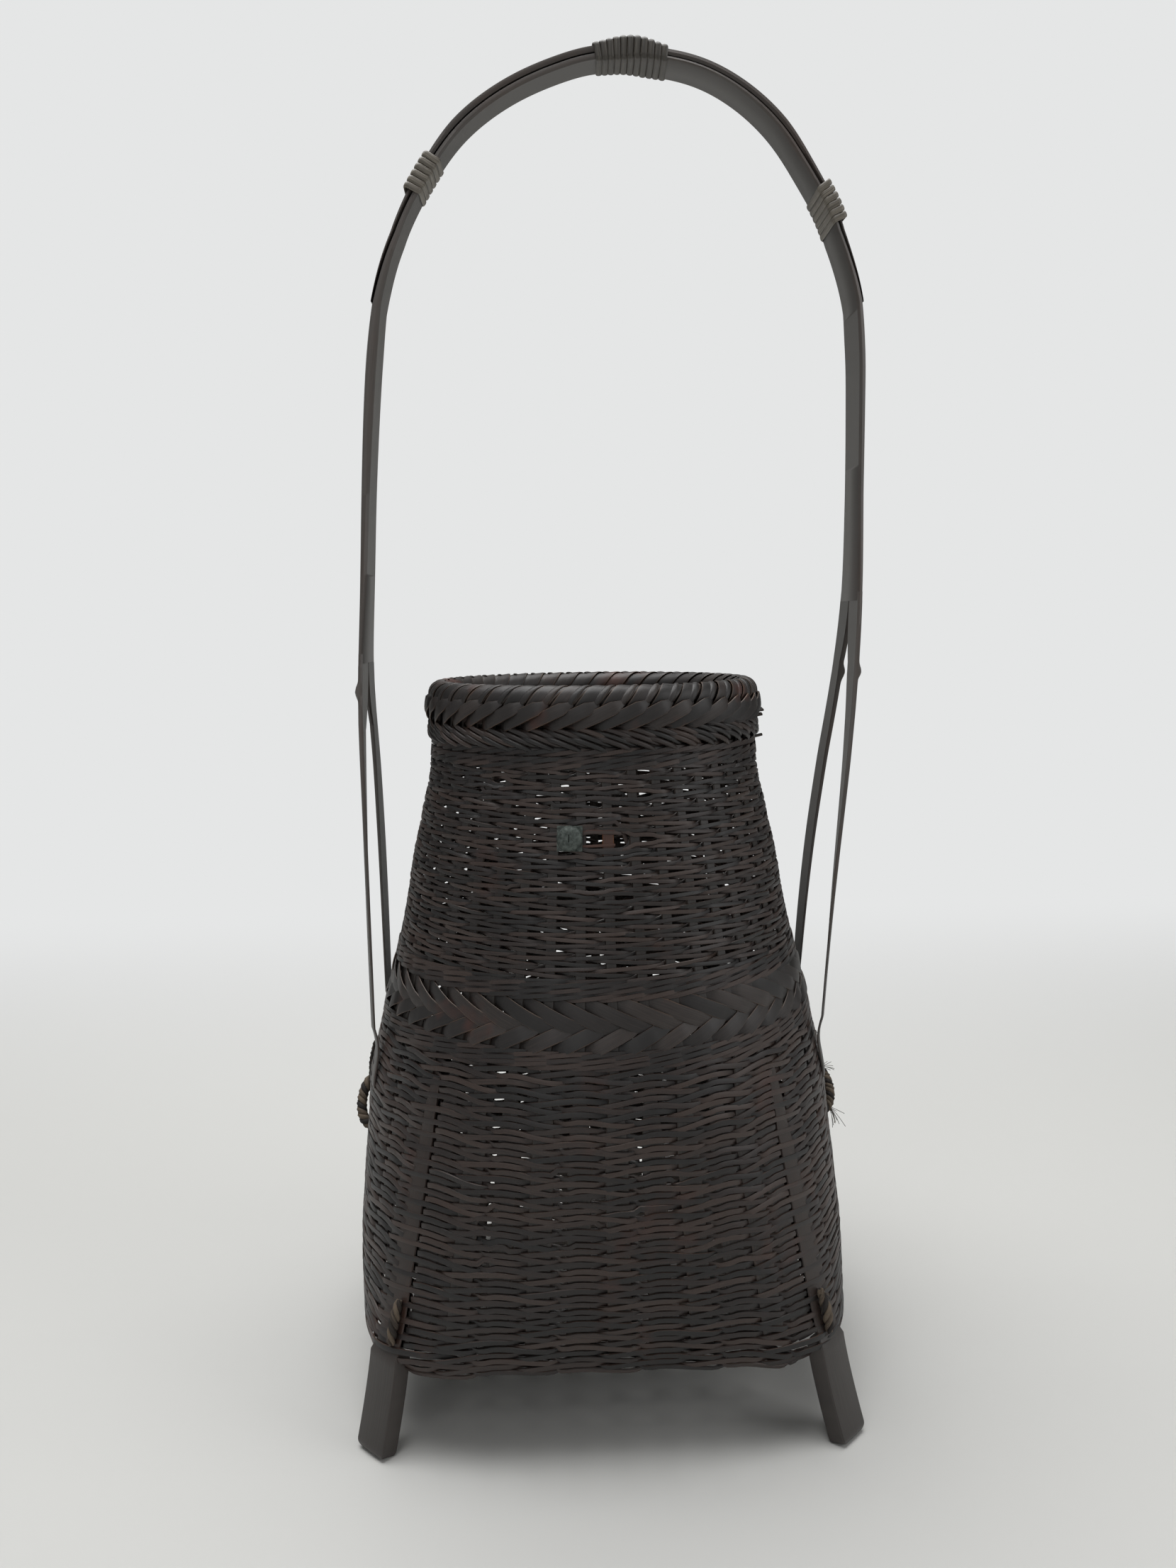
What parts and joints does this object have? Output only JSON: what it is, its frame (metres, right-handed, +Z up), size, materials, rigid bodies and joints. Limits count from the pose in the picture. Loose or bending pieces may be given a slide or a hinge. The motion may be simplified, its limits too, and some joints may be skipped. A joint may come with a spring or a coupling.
{
  "type": "ikebana basket",
  "caption": "Woven bamboo flower basket with a flared round rim, a squared swelling base on slat feet and a tall lashed hoop handle.",
  "frame": {"origin": "middle of the four feet, on the surface that they stand on", "axes": "+Z up, +X along the handle's arch to the right, -Y towards the front"},
  "size_m": [0.1955, 0.1862, 0.488],
  "materials": {
    "weft": "dyed split bamboo, worn",
    "stake": "dyed split bamboo, satin",
    "band": "dyed split bamboo, satin, worn edges",
    "slat": "smoked bamboo culm, satin",
    "hoop": "smoked bamboo culm, satin",
    "rattan": "split rattan, greyed",
    "cord": "twisted plant fibre, matte",
    "iron": "patinated, dull"
  },
  "bodies": {
    "root": {"lower_wall": "weft", "upper_wall": "weft", "waist_band": "band", "collar_braid": "band", "rim_braid": "band", "stake_y_01": "stake", "stake_y_02": "stake", "stake_y_03": "stake", "stake_y_04": "stake", "stake_y_05": "stake", "stake_y_06": "stake", "stake_y_07": "stake", "stake_y_08": "stake", "stake_y_09": "stake", "stake_y_10": "stake", "stake_y_11": "stake", "stake_x_01": "stake", "stake_x_02": "stake", "stake_x_03": "stake", "stake_x_04": "stake", "stake_x_05": "stake", "stake_x_06": "stake", "stake_x_07": "stake", "stake_x_08": "stake", "stake_x_09": "stake", "stake_x_10": "stake", "stake_x_11": "stake", "stake_odd": "stake", "foot_slat_front_left": "slat", "foot_slat_front_right": "slat", "foot_slat_back_left": "slat", "foot_slat_back_right": "slat", "foot_tie_front_left": "cord", "foot_tie_front_right": "cord", "foot_tie_back_left": "cord", "foot_tie_back_right": "cord", "handle_hoop": "hoop", "handle_cover_strip": "hoop", "top_lashing": "rattan", "left_lashing": "rattan", "right_lashing": "rattan", "side_tie_left": "cord", "side_tie_right": "cord", "stud_disc": "iron", "stud_plate": "iron"}
  },
  "joints": []
}
